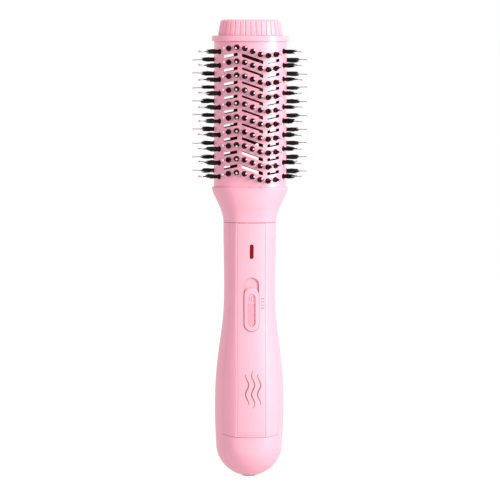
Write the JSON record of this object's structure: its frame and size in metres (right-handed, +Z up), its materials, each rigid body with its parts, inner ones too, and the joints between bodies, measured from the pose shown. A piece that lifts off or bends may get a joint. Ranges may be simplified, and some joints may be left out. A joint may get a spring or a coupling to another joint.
{
  "type": "hot air brush",
  "caption": "Handheld hot air styling brush: oval perforated barrel with ball-tipped tufts all round, flared neck, round handle with thumb slide.",
  "frame": {"origin": "centre of the mouth of the cord inlet, at the bottom of the handle", "axes": "+Z up along the tool from the cord inlet to the cool tip, -Y out of the front of the handle, where the thumb slide is, +X to the right seen from the front"},
  "size_m": [0.0868, 0.074, 0.34],
  "materials": {
    "shell_pink": "soft matte moulded plastic, pink",
    "trim_pink": "satin moulded plastic, pink",
    "barrel_pink": "satin pink coating on metal",
    "tuft_black": "black nylon bristle",
    "carrier_black": "matte black heat-resistant plastic",
    "mica": "pale layered mica",
    "heater_wire": "resistance wire",
    "steel": "plated steel",
    "magnet": "dark sintered ferrite",
    "armature": "laminations with copper windings",
    "brass": "turned brass",
    "fan_grey": "dark grey moulded plastic",
    "board_green": "green circuit board",
    "component_black": "black moulded component",
    "lens_red": "deep red transparent window",
    "led_clear": "tinted diode body",
    "filter_mesh": "pale moulded mesh",
    "lead_brown": "brown insulated lead",
    "lead_blue": "blue insulated lead"
  },
  "bodies": {
    "brush": {"cool_tip": "trim_pink", "tip_ring": "trim_pink", "tip_screw": "steel", "air_guide": "carrier_black", "barrel": "barrel_pink", "carrier_front": "carrier_black", "carrier_rear": "carrier_black", "carrier_left": "carrier_black", "carrier_right": "carrier_black", "tufts_front": "tuft_black", "tufts_rear": "tuft_black", "tufts_left": "tuft_black", "tufts_right": "tuft_black", "neck_collar": "shell_pink", "mica_sleeve": "mica", "mica_board_a": "mica", "mica_board_b": "mica", "heating_coil": "heater_wire", "thermostat": "steel", "thermal_fuse": "steel", "handle_front_shell": "shell_pink", "handle_rear_shell": "shell_pink", "end_cap": "shell_pink", "handle_screws": "steel", "front_panel": "shell_pink", "intake_grille": "shell_pink", "intake_filter": "filter_mesh", "switch_body": "component_black", "switch_screws": "steel", "indicator_lens": "lens_red", "led_board": "board_green", "indicator_led": "led_clear", "fan_duct": "fan_grey", "motor_can": "steel", "motor_bushes": "brass", "motor_magnets": "magnet", "circuit_board": "board_green", "board_capacitor": "component_black", "board_diodes": "component_black", "lead_live": "lead_brown", "lead_neutral": "lead_blue", "gland_retainer": "fan_grey"},
    "slider": {"switch_button": "trim_pink", "switch_lever": "brass"},
    "rotor": {"impeller": "fan_grey", "motor_shaft": "steel", "motor_armature": "armature"},
    "swivel": {"cord_gland": "carrier_black"}
  },
  "joints": [
    {"name": "switch_slide", "type": "slide", "parent": "brush", "child": "slider", "axis": [0, 0, 1], "range_m": [0, 0.007]},
    {"name": "fan_spin", "type": "hinge", "parent": "brush", "child": "rotor", "pos_m": [0, 0, 0.066], "axis": [0, 0, 1], "continuous": true},
    {"name": "cord_swivel", "type": "hinge", "parent": "brush", "child": "swivel", "pos_m": [0, 0, 0.002], "axis": [0, 0, 1], "continuous": true}
  ]
}
